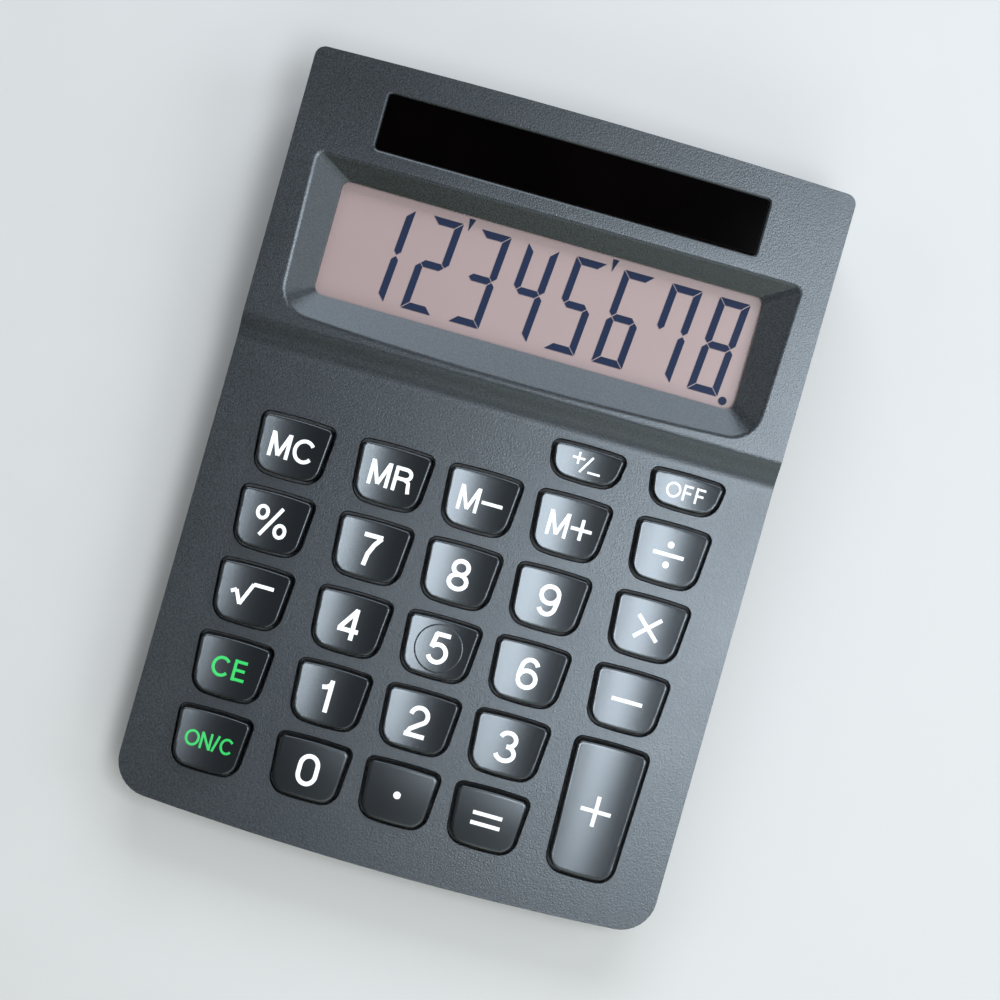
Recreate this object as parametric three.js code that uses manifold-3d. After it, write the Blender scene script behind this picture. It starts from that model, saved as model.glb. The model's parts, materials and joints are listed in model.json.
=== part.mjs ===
// Compact desk calculator: eight-digit display, solar strip, twenty-six sprung keys.
// Millimetres, +Z up, +Y towards the display end, origin on the desk under the middle of the case.

import * as THREE from "three";
import { ConvexGeometry } from "three/addons/geometries/ConvexGeometry.js";
import { mergeVertices } from "three/addons/utils/BufferGeometryUtils.js";
import Module from "manifold-3d";

const wasm = await Module();
wasm.setup();

// ---------------------------------------------------------------- driving dimensions

const CASE_WIDTH = 87;
const CASE_LENGTH = 121.3;
const FRONT_HEIGHT = 11.5;
const REAR_BOW = 0.7;
const FRONT_BOW = 1.7;
const REAR_CORNER = 1.8;
const FRONT_CORNER = 6;
const WALL = 1.8;

const KEY_SLOPE = THREE.MathUtils.degToRad(4.5);
const DISPLAY_SLOPE = THREE.MathUtils.degToRad(6.5);
const DISPLAY_LENGTH = 43.3;
const BLEND_LENGTH = 4.4;
const BLEND_RISE = 1.9;

const FOOT_HEIGHT = 2.0;
const FLOOR_Z = 1.5;
const PARTING_Z = 6.4;
const PARTING_GAP = 0.2;
const BOTTOM_INSET = 0.6;

const COLUMN_X = [-30.4, -14.4, 0, 14.4, 30.4];
const FIRST_ROW_Y = -14.3;
const ROW_PITCH = 11.85;
const SHORT_ROW_Y = -4.3;
const HOLE_WIDTH = 12.1;
const HOLE_LENGTH = 9.9;
const SHORT_HOLE_LENGTH = 6;
const TALL_HOLE_LENGTH = HOLE_LENGTH + ROW_PITCH;
const KEY_TAPER = 0.65;
const KEY_GAP = 0.4;
const KEY_HEIGHT = 2.0;
const KEY_FOOT = -2.9;
const LIP_TOP = -2.1;
const LIP_WIDTH = 0.35;
const KEY_CURVE_STEPS = 2;
const CASE_CURVE_STEPS = 5;

const MAT_WIDTH = 73;
const MAT_LENGTH = 68.3;
const MAT_CENTRE_Y = -34.9;
const MAT_BOTTOM = -5.0;
const MAT_THICKNESS = 0.7;
const DOME_RADIUS = 3.6;
const SHORT_DOME_RADIUS = 2.6;
const DOME_DRAFT = 1.2;
const DOME_HEIGHT = 1.1;
const BOARD_BOTTOM = -6.5;
const BOARD_THICKNESS = 1.2;
const BOARD_REAR_Y = 13.7;
const BOARD_FRONT_Y = -69.3;
const BOARD_HALF_WIDTH = 40.7;
const BOARD_SCREW_X = 39.1;
const BOARD_SCREW_YS = [-20.3, -44.0];
const BOARD_SCREW = { headRadius: 1.5, headHeight: 1.0, shankRadius: 0.7, shankLength: 3.6 };
const BOARD_BOSS_RADIUS = 1.9;
const BOARD_BOSS_BOTTOM = -5.0;

const RECESS_REAR_Y = 26.9;
const RECESS_FRONT_Y = 0.4;
const RECESS_HALF_WIDTH = 39.1;
const RECESS_TAPER = 0.75;
const RECESS_DEPTH = 2.0;
const WINDOW_CENTRE_Y = 14.5;
const WINDOW_SIZE = [68.2, 18.2];
const LCD_SIZE = [72, 24];
const SOLAR_CENTRE_Y = 34.2;
const SOLAR_SIZE = [61.8, 9.6];
const SOLAR_SEAT_DEPTH = 1.2;
const SOLAR_OPENING = [58.8, 6.8];
const ZEBRA_Y = 3.8;

const CASE_SCREW_PLACES = [[-39.3, -52], [39.3, -52], [-38, 53.5], [38, 53.5]];
const CASE_SCREW = { headRadius: 2.0, headHeight: 1.6, shankRadius: 1.0, shankLength: 5.4 };
const CASE_SCREW_BOTTOM = 2.4;
const HEAD_SEAT_TOP = 4.2;
const CASE_BOSS_RADIUS = 2.2;
const CASE_POST_RADIUS = 3.2;
const FEET = { rear_left: [-31, 49], rear_right: [31, 49], front_left: [-31, -46], front_right: [31, -46] };
const FOOT_RADIUS = 4.5;
const ABOVE_ALL = 40;

const DOOR_CENTRE = [0, 38];
const DOOR_SIZE = [19, 20];
const DOOR_GAP = 0.3;
const WELL_ROOF_Z = 7.9;
const WELL_WALL = 1.2;
const CELL_RADIUS = 5.8;
const CELL_HEIGHT = 3.05;
const CELL_RING = [7.0, 8.4];
const HOOK_XS = [-5.5, 5.5];
const HOOK_WIDTH = 3;
const HOOK_TOP = 4.6;
const TONGUE_TOP = 5.8;
const TONGUE_INSET = 0.4;
const STRIP_THICKNESS = 0.3;
const WIRE_RADIUS = 0.5;

// ---------------------------------------------------------------- derived places

const HALF_LENGTH = CASE_LENGTH / 2;
const BLEND_REAR_Y = HALF_LENGTH - DISPLAY_LENGTH * Math.cos(DISPLAY_SLOPE);
const BLEND_FRONT_Y = BLEND_REAR_Y - BLEND_LENGTH;
const KEY_ORIGIN_Z = FRONT_HEIGHT + Math.tan(KEY_SLOPE) * (BLEND_FRONT_Y + HALF_LENGTH);
const DISPLAY_ORIGIN_Z = KEY_ORIGIN_Z + BLEND_RISE;
const FLOOR_TOP_Z = FLOOR_Z + WALL;

const keyFrame = new THREE.Matrix4().makeRotationX(KEY_SLOPE).setPosition(0, BLEND_FRONT_Y, KEY_ORIGIN_Z);
const displayFrame = new THREE.Matrix4()
  .makeRotationX(DISPLAY_SLOPE)
  .setPosition(0, BLEND_REAR_Y, DISPLAY_ORIGIN_Z);

// ---------------------------------------------------------------- materials

function plastic(color, roughness) {
  return new THREE.MeshStandardMaterial({ color, roughness, metalness: 0 });
}

function metal(color, roughness) {
  return new THREE.MeshStandardMaterial({ color, roughness, metalness: 1 });
}

const caseGraphite = plastic(0x4a4b4c, 0.55);
const keyBlack = plastic(0x131416, 0.35);
const windowClear = plastic(0xc9c4c0, 0.08);
const windowSmoked = plastic(0x120d0d, 0.08);
const lcdGrey = plastic(0xcab9b4, 0.25);
const holderWhite = plastic(0xd8d8d2, 0.5);
const boardGreen = plastic(0x2d6b3f, 0.5);
const epoxyBlack = plastic(0x101010, 0.3);
const cellBrown = plastic(0x2a1512, 0.15);
const matGrey = plastic(0x8e9296, 0.8);
const zebraPink = plastic(0xc98d92, 0.7);
const rubberBlack = plastic(0x1a1a1a, 0.9);
const wireRed = plastic(0xb02020, 0.5);
const wireBlack = plastic(0x151515, 0.5);
const capacitorBlue = plastic(0x22335c, 0.4);
const steel = metal(0xb8bbbe, 0.35);
const springBronze = metal(0xc9b07a, 0.35);

// ---------------------------------------------------------------- shape helpers

function solid(geometry) {
  const bare = geometry.clone();
  bare.deleteAttribute("normal");
  bare.deleteAttribute("uv");
  const merged = mergeVertices(bare, 1e-5);
  const mesh = new wasm.Mesh({
    numProp: 3,
    vertProperties: new Float32Array(merged.attributes.position.array),
    triVerts: new Uint32Array(merged.index.array),
  });
  return new wasm.Manifold(mesh);
}

function geometryOf(manifold) {
  const mesh = manifold.getMesh();
  const geometry = new THREE.BufferGeometry();
  geometry.setAttribute("position", new THREE.BufferAttribute(mesh.vertProperties, 3));
  geometry.setIndex(new THREE.BufferAttribute(mesh.triVerts, 1));
  geometry.computeVertexNormals();
  return geometry;
}

function joined(...pieces) {
  return pieces.reduce((whole, piece) => whole.add(piece));
}

function cut(whole, ...tools) {
  return tools.reduce((rest, tool) => rest.subtract(tool), whole);
}

function extruded(shape, bottom, top, curveSegments = 4) {
  const depth = top - bottom;
  return new THREE.ExtrudeGeometry(shape, { depth, bevelEnabled: false, curveSegments }).translate(0, 0, bottom);
}

function block(width, length, bottom, top, x = 0, y = 0) {
  return new THREE.BoxGeometry(width, length, top - bottom).translate(x, y, (top + bottom) / 2);
}

function post(radius, bottom, top, x = 0, y = 0, segments = 16) {
  const upright = new THREE.CylinderGeometry(radius, radius, top - bottom, segments);
  return upright.rotateX(Math.PI / 2).translate(x, y, (top + bottom) / 2);
}

// A rectangle whose rear and front edges bow outwards by the given amounts.
function bowedShape({ rear, front, rearHalf, frontHalf, rearRadius, frontRadius, rearBow = 0, frontBow = 0 }) {
  const shape = new THREE.Shape();
  const rearSide = rear - rearBow;
  const frontSide = front + frontBow;
  shape.moveTo(-rearHalf + rearRadius, rearSide);
  shape.quadraticCurveTo(-rearHalf, rearSide, -rearHalf, rearSide - rearRadius);
  shape.lineTo(-frontHalf, frontSide + frontRadius);
  shape.quadraticCurveTo(-frontHalf, frontSide, -frontHalf + frontRadius, frontSide);
  shape.quadraticCurveTo(0, front - frontBow, frontHalf - frontRadius, frontSide);
  shape.quadraticCurveTo(frontHalf, frontSide, frontHalf, frontSide + frontRadius);
  shape.lineTo(rearHalf, rearSide - rearRadius);
  shape.quadraticCurveTo(rearHalf, rearSide, rearHalf - rearRadius, rearSide);
  shape.quadraticCurveTo(0, rear + rearBow, -rearHalf + rearRadius, rearSide);
  return shape;
}

function roundedRectangle(width, length, radius, centreY = 0) {
  return bowedShape({
    rear: centreY + length / 2,
    front: centreY - length / 2,
    rearHalf: width / 2,
    frontHalf: width / 2,
    rearRadius: radius,
    frontRadius: radius,
  });
}

function caseShape(inset) {
  return bowedShape({
    rear: HALF_LENGTH - inset,
    front: -HALF_LENGTH + inset,
    rearHalf: CASE_WIDTH / 2 - inset,
    frontHalf: CASE_WIDTH / 2 - inset,
    rearRadius: Math.max(REAR_CORNER - inset, 0.4),
    frontRadius: FRONT_CORNER - inset,
    rearBow: REAR_BOW,
    frontBow: FRONT_BOW,
  });
}

// The shield outline that a key and its hole share: wider at the rear, rounder at the front.
function keyShape(length, grow) {
  return bowedShape({
    rear: length / 2 + grow,
    front: -length / 2 - grow,
    rearHalf: HOLE_WIDTH / 2 + grow,
    frontHalf: HOLE_WIDTH / 2 - KEY_TAPER + grow,
    rearRadius: 1.4 + grow,
    frontRadius: 2.4 + grow,
    rearBow: 0.25,
    frontBow: 0.4,
  });
}

// Everything under the sloping top of the case, lowered by a wall's thickness where asked.
function underTop(lowering) {
  const reach = HALF_LENGTH + 10;
  const keyTan = Math.tan(KEY_SLOPE);
  const displayTan = Math.tan(DISPLAY_SLOPE);
  const half = BLEND_LENGTH / 2;
  const keyZ = KEY_ORIGIN_Z - lowering;
  const displayZ = DISPLAY_ORIGIN_Z - lowering;
  const profile = new THREE.Shape();
  profile.moveTo(-reach, -5);
  profile.lineTo(reach, -5);
  profile.lineTo(reach, displayZ + displayTan * (reach - BLEND_REAR_Y));
  profile.lineTo(BLEND_REAR_Y, displayZ);
  profile.bezierCurveTo(
    BLEND_REAR_Y - half, displayZ - displayTan * half,
    BLEND_FRONT_Y + half, keyZ + keyTan * half,
    BLEND_FRONT_Y, keyZ,
  );
  profile.lineTo(-reach, keyZ - keyTan * (reach + BLEND_FRONT_Y));
  const alongX = new THREE.Matrix4().makeBasis(
    new THREE.Vector3(0, 1, 0),
    new THREE.Vector3(0, 0, 1),
    new THREE.Vector3(1, 0, 0),
  );
  return extruded(profile, -60, 60, 6).applyMatrix4(alongX);
}

function strip(points, thickness, width) {
  const shape = new THREE.Shape();
  const left = points.map(([a, b], i) => {
    const before = points[Math.max(i - 1, 0)];
    const after = points[Math.min(i + 1, points.length - 1)];
    const along = new THREE.Vector2(after[0] - before[0], after[1] - before[1]).normalize();
    return new THREE.Vector2(a - along.y * thickness, b + along.x * thickness);
  });
  shape.moveTo(...points[0]);
  points.slice(1).forEach(([a, b]) => shape.lineTo(a, b));
  left.reverse().forEach((point) => shape.lineTo(point.x, point.y));
  shape.closePath();
  return extruded(shape, -width / 2, width / 2);
}

const group = new THREE.Group();
const keyGroup = new THREE.Group();
keyGroup.applyMatrix4(keyFrame);
group.add(keyGroup);
const displayGroup = new THREE.Group();
displayGroup.applyMatrix4(displayFrame);
group.add(displayGroup);

function place(parent, name, geometry, material, x = 0, y = 0, z = 0) {
  const mesh = new THREE.Mesh(geometry, material);
  mesh.name = name;
  mesh.position.set(x, y, z);
  parent.add(mesh);
}

// ---------------------------------------------------------------- keys

function rowY(row) {
  return FIRST_ROW_Y - ROW_PITCH * row;
}

const shortKeys = [["sign_change", 3], ["off", 4]];
const keyRows = [
  ["mc", "mr", "m_minus", "m_plus", "divide"],
  ["percent", "7", "8", "9", "multiply"],
  ["root", "4", "5", "6", "minus"],
  ["ce", "1", "2", "3"],
  ["on_c", "0", "point", "equals"],
];
const keys = [
  ...shortKeys.map(([name, column]) => ({ name, x: COLUMN_X[column], y: SHORT_ROW_Y, length: SHORT_HOLE_LENGTH })),
  ...keyRows.flatMap((names, row) =>
    names.map((name, column) => ({ name, x: COLUMN_X[column], y: rowY(row), length: HOLE_LENGTH })),
  ),
  { name: "plus", x: COLUMN_X[4], y: rowY(3.5), length: TALL_HOLE_LENGTH },
];

function keyHole(length) {
  return extruded(keyShape(length, 0), -4, 4, KEY_CURVE_STEPS);
}

function keyCap(length) {
  const cap = solid(extruded(keyShape(length, -KEY_GAP), KEY_FOOT, KEY_HEIGHT, KEY_CURVE_STEPS));
  const retainingLip = solid(extruded(keyShape(length, LIP_WIDTH), KEY_FOOT, LIP_TOP, KEY_CURVE_STEPS));
  return geometryOf(joined(cap, retainingLip));
}

for (const key of keys) {
  place(keyGroup, `key_${key.name}`, keyCap(key.length), keyBlack, key.x, key.y);
}

// ---------------------------------------------------------------- key mat and circuit board

function domePlaces({ x, y, length }) {
  const offsets = length === TALL_HOLE_LENGTH ? [-ROW_PITCH / 2, ROW_PITCH / 2] : [0];
  const radius = length === SHORT_HOLE_LENGTH ? SHORT_DOME_RADIUS : DOME_RADIUS;
  return offsets.map((offset) => [x, y + offset, radius]);
}

function keyMat() {
  const matTop = MAT_BOTTOM + MAT_THICKNESS;
  const rooted = 0.2;
  const sheet = solid(block(MAT_WIDTH, MAT_LENGTH, MAT_BOTTOM, matTop, 0, MAT_CENTRE_Y));
  const domes = keys.flatMap(domePlaces).map(([x, y, radius]) => {
    const dome = new THREE.CylinderGeometry(radius - DOME_DRAFT, radius, DOME_HEIGHT + rooted, 8);
    return solid(dome.rotateX(Math.PI / 2).translate(x, y, matTop + (DOME_HEIGHT - rooted) / 2));
  });
  return geometryOf(joined(sheet, ...domes));
}

function keyFramePoint(x, y, z) {
  return new THREE.Vector3(x, y, z).applyMatrix4(keyFrame.clone().invert());
}

const boardScrewPlaces = BOARD_SCREW_YS.flatMap((y) => [[-BOARD_SCREW_X, y], [BOARD_SCREW_X, y]]);

function circuitBoard() {
  const boardShape = bowedShape({
    rear: BOARD_REAR_Y,
    front: BOARD_FRONT_Y,
    rearHalf: BOARD_HALF_WIDTH,
    frontHalf: BOARD_HALF_WIDTH,
    rearRadius: 1,
    frontRadius: 6,
  });
  const sheet = solid(extruded(boardShape, BOARD_BOTTOM, BOARD_BOTTOM + BOARD_THICKNESS));
  const screwHoles = boardScrewPlaces.map(([x, y]) => solid(post(0.95, -10, 0, x, y, 12)));
  const bossNotches = CASE_SCREW_PLACES.slice(0, 2).map(([x, y]) => {
    const middle = keyFramePoint(x, y, PARTING_Z);
    return solid(post(CASE_POST_RADIUS + 0.4, -10, 0, middle.x, middle.y, 20));
  });
  return geometryOf(cut(sheet, ...screwHoles, ...bossNotches));
}

function roundHeadScrew({ headRadius, headHeight, shankRadius, shankLength }) {
  const profile = [
    new THREE.Vector2(0, 0),
    new THREE.Vector2(headRadius * 0.8, 0),
    new THREE.Vector2(headRadius, headHeight * 0.5),
    new THREE.Vector2(headRadius, headHeight),
    new THREE.Vector2(shankRadius, headHeight),
    new THREE.Vector2(shankRadius, headHeight + shankLength - 0.6),
    new THREE.Vector2(0, headHeight + shankLength),
  ];
  const turned = solid(new THREE.LatheGeometry(profile, 12).rotateX(Math.PI / 2));
  const slot = new THREE.BoxGeometry(headRadius * 1.2, 0.4, 1);
  const slots = [0, Math.PI / 2].map((turn) => solid(slot.clone().rotateZ(turn)));
  return geometryOf(cut(turned, ...slots));
}

place(keyGroup, "key_mat", keyMat(), matGrey);
place(keyGroup, "circuit_board", circuitBoard(), boardGreen);
boardScrewPlaces.forEach(([x, y], i) => {
  const headBottom = BOARD_BOTTOM - BOARD_SCREW.headHeight - 0.3;
  place(keyGroup, `board_screw_${i + 1}`, roundHeadScrew(BOARD_SCREW), steel, x, y, headBottom);
});

const blobProfile = [[0, 0], [2.4, 0.1], [4.2, 0.6], [5, 1.3], [0, 1.3]].map(([r, h]) => new THREE.Vector2(r, h));
const chipBlob = new THREE.LatheGeometry(blobProfile, 20).rotateX(Math.PI / 2);
place(keyGroup, "chip_blob", chipBlob, epoxyBlack, 0, -26, BOARD_BOTTOM - 1.4);

const capacitorCan = new THREE.CylinderGeometry(2, 2, 5.5, 16).rotateZ(Math.PI / 2);
place(keyGroup, "capacitor", capacitorCan, capacitorBlue, 18, -6, BOARD_BOTTOM - 2.2);

// ---------------------------------------------------------------- display and solar strip

const windowPlate = roundedRectangle(WINDOW_SIZE[0] + 1.8, WINDOW_SIZE[1] + 1.8, 0.8, WINDOW_CENTRE_Y);
place(displayGroup, "display_window", extruded(windowPlate, -3.4, -2.4), windowClear);
place(displayGroup, "lcd_panel", block(...LCD_SIZE, -5.4, -3.6, 0, WINDOW_CENTRE_Y), lcdGrey);

const holderPlate = solid(extruded(roundedRectangle(77, 27.4, 1, WINDOW_CENTRE_Y - 0.9), -6.4, -5.6));
const holderOpening = solid(block(62, 16, -10, 0, 0, WINDOW_CENTRE_Y + 1));
const zebraSlot = solid(block(66.6, 2.4, -10, 0, 0, ZEBRA_Y));
place(displayGroup, "lcd_holder", geometryOf(cut(holderPlate, holderOpening, zebraSlot)), holderWhite);

// The zebra strip stands on the circuit board and reaches up to the underside of the panel.
const zebraContact = new THREE.Vector3(0, ZEBRA_Y, -5.57).applyMatrix4(displayFrame);
const zebraTop = keyFramePoint(...zebraContact);
const zebraBottom = BOARD_BOTTOM + BOARD_THICKNESS + 0.1;
place(keyGroup, "zebra_strip", block(66, 1.6, zebraBottom, zebraTop.z, 0, zebraTop.y), zebraPink);

const solarPlate = roundedRectangle(SOLAR_SIZE[0] - 0.4, SOLAR_SIZE[1] - 0.4, 0.5, SOLAR_CENTRE_Y);
place(displayGroup, "solar_window", extruded(solarPlate, -1.1, -0.3), windowSmoked);
place(displayGroup, "solar_cell", block(60, 9.2, -3.1, -2.0, 0, SOLAR_CENTRE_Y), cellBrown);

// ---------------------------------------------------------------- top case

function recessShape() {
  return bowedShape({
    rear: RECESS_REAR_Y,
    front: RECESS_FRONT_Y,
    rearHalf: RECESS_HALF_WIDTH,
    frontHalf: RECESS_HALF_WIDTH - RECESS_TAPER,
    rearRadius: 1.5,
    frontRadius: 4.5,
    frontBow: 1.1,
  });
}

function ring(shape, z, segments) {
  return shape.getPoints(segments).map((point) => new THREE.Vector3(point.x, point.y, z));
}

// The sloping funnel that leads from the case top down to the display window.
function recessFunnel() {
  const mouth = recessShape();
  const throat = roundedRectangle(...WINDOW_SIZE, 1, WINDOW_CENTRE_Y);
  return new ConvexGeometry([...ring(mouth, 1, 4), ...ring(mouth, 0, 4), ...ring(throat, -RECESS_DEPTH, 3)]);
}

function inDisplay(geometry) {
  return solid(geometry.applyMatrix4(displayFrame));
}

function inKeys(geometry) {
  return solid(geometry.applyMatrix4(keyFrame));
}

function topCase() {
  const outerPlan = solid(extruded(caseShape(0), PARTING_Z + PARTING_GAP, ABOVE_ALL, CASE_CURVE_STEPS));
  const innerPlan = solid(extruded(caseShape(WALL), 0, ABOVE_ALL, CASE_CURVE_STEPS));
  const outside = outerPlan.intersect(solid(underTop(0)));
  const inside = innerPlan.intersect(solid(underTop(WALL)));
  const screwBosses = CASE_SCREW_PLACES.map(([x, y]) =>
    solid(post(CASE_BOSS_RADIUS, PARTING_Z + 0.5, ABOVE_ALL, x, y)),
  );
  const boardBosses = boardScrewPlaces.map(([x, y]) =>
    inKeys(post(BOARD_BOSS_RADIUS, BOARD_BOSS_BOTTOM, -1, x, y)),
  );
  const recessBlock = inDisplay(block(79, 28.3, -5.5, -1, 0, WINDOW_CENTRE_Y - 0.9));
  const body = joined(outside.subtract(inside), recessBlock, ...screwBosses, ...boardBosses).intersect(outside);

  const keyHoles = keys.map(({ x, y, length }) => inKeys(keyHole(length).translate(x, y, 0)));
  const windowOpening = inDisplay(extruded(roundedRectangle(...WINDOW_SIZE, 1, WINDOW_CENTRE_Y), -4, -1));
  const windowPocket = inDisplay(block(70.4, 20.4, -4, -2.3, 0, WINDOW_CENTRE_Y));
  const lcdPocket = inDisplay(block(72.6, 24.6, -8, -3.5, 0, WINDOW_CENTRE_Y));
  const solarShape = roundedRectangle(...SOLAR_SIZE, 0.6, SOLAR_CENTRE_Y);
  const solarSeat = inDisplay(extruded(solarShape, -SOLAR_SEAT_DEPTH, 3));
  const solarOpening = inDisplay(block(...SOLAR_OPENING, -4, 1, 0, SOLAR_CENTRE_Y));
  const screwPilots = CASE_SCREW_PLACES.map(([x, y]) => solid(post(1.2, 0, 9.9, x, y, 12)));
  const boardPilots = boardScrewPlaces.map(([x, y]) => inKeys(post(0.9, -8, -2.6, x, y, 12)));
  const openings = [...keyHoles, inDisplay(recessFunnel()), windowOpening, windowPocket, lcdPocket];
  return geometryOf(cut(body, ...openings, solarSeat, solarOpening, ...screwPilots, ...boardPilots));
}

place(group, "top_case", topCase(), caseGraphite);

// ---------------------------------------------------------------- bottom case

const DOOR_REAR_Y = DOOR_CENTRE[1] + DOOR_SIZE[1] / 2;

function bottomCase() {
  const outside = solid(extruded(caseShape(BOTTOM_INSET), FLOOR_Z, PARTING_Z, CASE_CURVE_STEPS));
  const inside = solid(extruded(caseShape(BOTTOM_INSET + WALL), FLOOR_TOP_Z, ABOVE_ALL, CASE_CURVE_STEPS));
  const [doorX, doorY] = DOOR_CENTRE;
  const openingWidth = DOOR_SIZE[0] + 2 * DOOR_GAP;
  const openingLength = DOOR_SIZE[1] + 2 * DOOR_GAP;
  const roofTop = WELL_ROOF_Z + WELL_WALL;
  const wellWidth = openingWidth + 2 * WELL_WALL;
  const wellLength = openingLength + 2 * WELL_WALL;
  const well = solid(block(wellWidth, wellLength, FLOOR_Z, roofTop, doorX, doorY));
  const wellHollow = solid(block(openingWidth, openingLength, 0, WELL_ROOF_Z, doorX, doorY));
  const [ringInside, ringOutside] = CELL_RING;
  const ringBore = solid(post(ringInside, 0, WELL_ROOF_Z, doorX, doorY, 24));
  const cellRing = solid(post(ringOutside, 4.2, WELL_ROOF_Z + 0.3, doorX, doorY, 24)).subtract(ringBore);
  const plusSlot = solid(block(4.5, 5, 2, 20, 7.2, doorY));
  const minusSlot = solid(block(5, 8, 6.6, WELL_ROOF_Z - 0.1, 0, doorY - 10));
  const hookSlots = HOOK_XS.map((x) => solid(block(HOOK_WIDTH + 0.8, 4, FLOOR_TOP_Z, 5.4, x, DOOR_REAR_Y + 1)));
  const fingerDip = solid(new THREE.SphereGeometry(6, 20, 12).translate(0, doorY - DOOR_SIZE[1] / 2 - 2.5, -3.7));

  const screwPosts = CASE_SCREW_PLACES.map(([x, y]) => solid(post(CASE_POST_RADIUS, FLOOR_Z, PARTING_Z, x, y)));
  const feet = Object.values(FEET);
  const footPads = feet.map(([x, y]) => solid(post(FOOT_RADIUS + 1.2, FLOOR_Z, 3.9, x, y)));
  const footSeats = feet.map(([x, y]) => solid(post(FOOT_RADIUS + 0.2, 0, FOOT_HEIGHT + 0.1, x, y, 20)));
  const headSeatRadius = CASE_SCREW.headRadius + 0.3;
  const headSeats = CASE_SCREW_PLACES.map(([x, y]) => solid(post(headSeatRadius, 0, HEAD_SEAT_TOP, x, y)));
  const shankHoles = CASE_SCREW_PLACES.map(([x, y]) => solid(post(1.3, 0, 10, x, y, 12)));
  const sideRibs = [-1, 1].map((side) => solid(block(1, 26, FLOOR_Z + 1, 8, side * 40.2, 10)));
  const rearRib = solid(block(60, 1, FLOOR_Z + 1, 8.4, 0, HALF_LENGTH - 3.4));

  const tray = joined(outside.subtract(inside), ...screwPosts, ...footPads, ...sideRibs, rearRib, well);
  const allowed = joined(outside, solid(block(CASE_WIDTH - 2, CASE_LENGTH - 3.3, 3, 20)));
  const fitted = joined(cut(tray.intersect(allowed), wellHollow), cellRing);
  const slots = [plusSlot, minusSlot, ...hookSlots, fingerDip];
  return geometryOf(cut(fitted, ...slots, ...footSeats, ...headSeats, ...shankHoles));
}

place(group, "bottom_case", bottomCase(), caseGraphite);

CASE_SCREW_PLACES.forEach(([x, y], i) => {
  place(group, `case_screw_${i + 1}`, roundHeadScrew(CASE_SCREW), steel, x, y, CASE_SCREW_BOTTOM);
});

for (const [name, [x, y]] of Object.entries(FEET)) {
  const edge = 0.4;
  const profile = [
    [0, 0],
    [FOOT_RADIUS - edge, 0],
    [FOOT_RADIUS, edge],
    [FOOT_RADIUS, FOOT_HEIGHT],
    [0, FOOT_HEIGHT],
  ].map(([r, h]) => new THREE.Vector2(r, h));
  const foot = new THREE.LatheGeometry(profile, 20).rotateX(Math.PI / 2);
  place(group, `foot_${name}`, foot, rubberBlack, x, y, 0);
}

// ---------------------------------------------------------------- battery

function batteryDoor() {
  const plate = solid(block(...DOOR_SIZE, FLOOR_Z, FLOOR_TOP_Z, 0, 0));
  const hooks = HOOK_XS.map((x) => {
    const stem = solid(block(HOOK_WIDTH, 2, FLOOR_TOP_Z - 0.3, HOOK_TOP, x, DOOR_SIZE[1] / 2 - 1));
    const tab = solid(block(HOOK_WIDTH, 3, FLOOR_TOP_Z + 0.3, HOOK_TOP, x, DOOR_SIZE[1] / 2));
    return joined(stem, tab);
  });
  const tongueY = -DOOR_SIZE[1] / 2 + TONGUE_INSET + 0.5;
  const latchTongue = solid(block(6, 1, FLOOR_TOP_Z - 0.3, TONGUE_TOP, 0, tongueY));
  const grips = [-2, 0, 2].map((y) => solid(block(8, 0.7, 0, FLOOR_Z + 0.35, 0, y - 5.5)));
  return geometryOf(cut(joined(plate, ...hooks, latchTongue), ...grips));
}

place(group, "battery_door", batteryDoor(), caseGraphite, ...DOOR_CENTRE, 0);

const cellProfile = [
  [0, 0],
  [CELL_RADIUS - 1.6, 0],
  [CELL_RADIUS - 1.2, 0.35],
  [CELL_RADIUS - 0.3, 0.5],
  [CELL_RADIUS, 0.9],
  [CELL_RADIUS, CELL_HEIGHT],
  [0, CELL_HEIGHT],
].map(([r, h]) => new THREE.Vector2(r, h));
const CELL_BOTTOM_Z = FLOOR_TOP_Z + 0.4;
const CELL_TOP_Z = CELL_BOTTOM_Z + CELL_HEIGHT;
const cellGeometry = new THREE.LatheGeometry(cellProfile, 24).rotateX(Math.PI / 2).rotateX(Math.PI);
place(group, "battery_cell", cellGeometry, steel, ...DOOR_CENTRE, CELL_TOP_Z);

// Spring strips: the plus strip stands beside the cell, the minus strip bears on its cap from above.
const plusPoints = [[0, 0], [0, 5.9], [2.6, 5.9]];
const plusStrip = strip(plusPoints, STRIP_THICKNESS, 3.6).rotateX(Math.PI / 2);
place(group, "battery_contact_plus", plusStrip, springBronze, 6.25, DOOR_CENTRE[1], 3.8);

const minusPoints = [[3, -0.1], [0, -0.1], [-3.6, 0.2], [-9, 0.2], [-13, 0.2]];
const minusStrip = strip(minusPoints, -STRIP_THICKNESS, 4).rotateZ(Math.PI / 2).rotateY(Math.PI / 2);
place(group, "battery_contact_minus", minusStrip, springBronze, 0, DOOR_CENTRE[1], CELL_TOP_Z + 0.5);

function wire(points) {
  const stops = points.map((point) => new THREE.Vector3(...point));
  const route = new THREE.CatmullRomCurve3(stops, false, "catmullrom", 0.4);
  const section = new THREE.Shape().absarc(0, 0, WIRE_RADIUS, 0, 2 * Math.PI);
  return new THREE.ExtrudeGeometry(section, { steps: 12, extrudePath: route, curveSegments: 3 });
}

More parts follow.
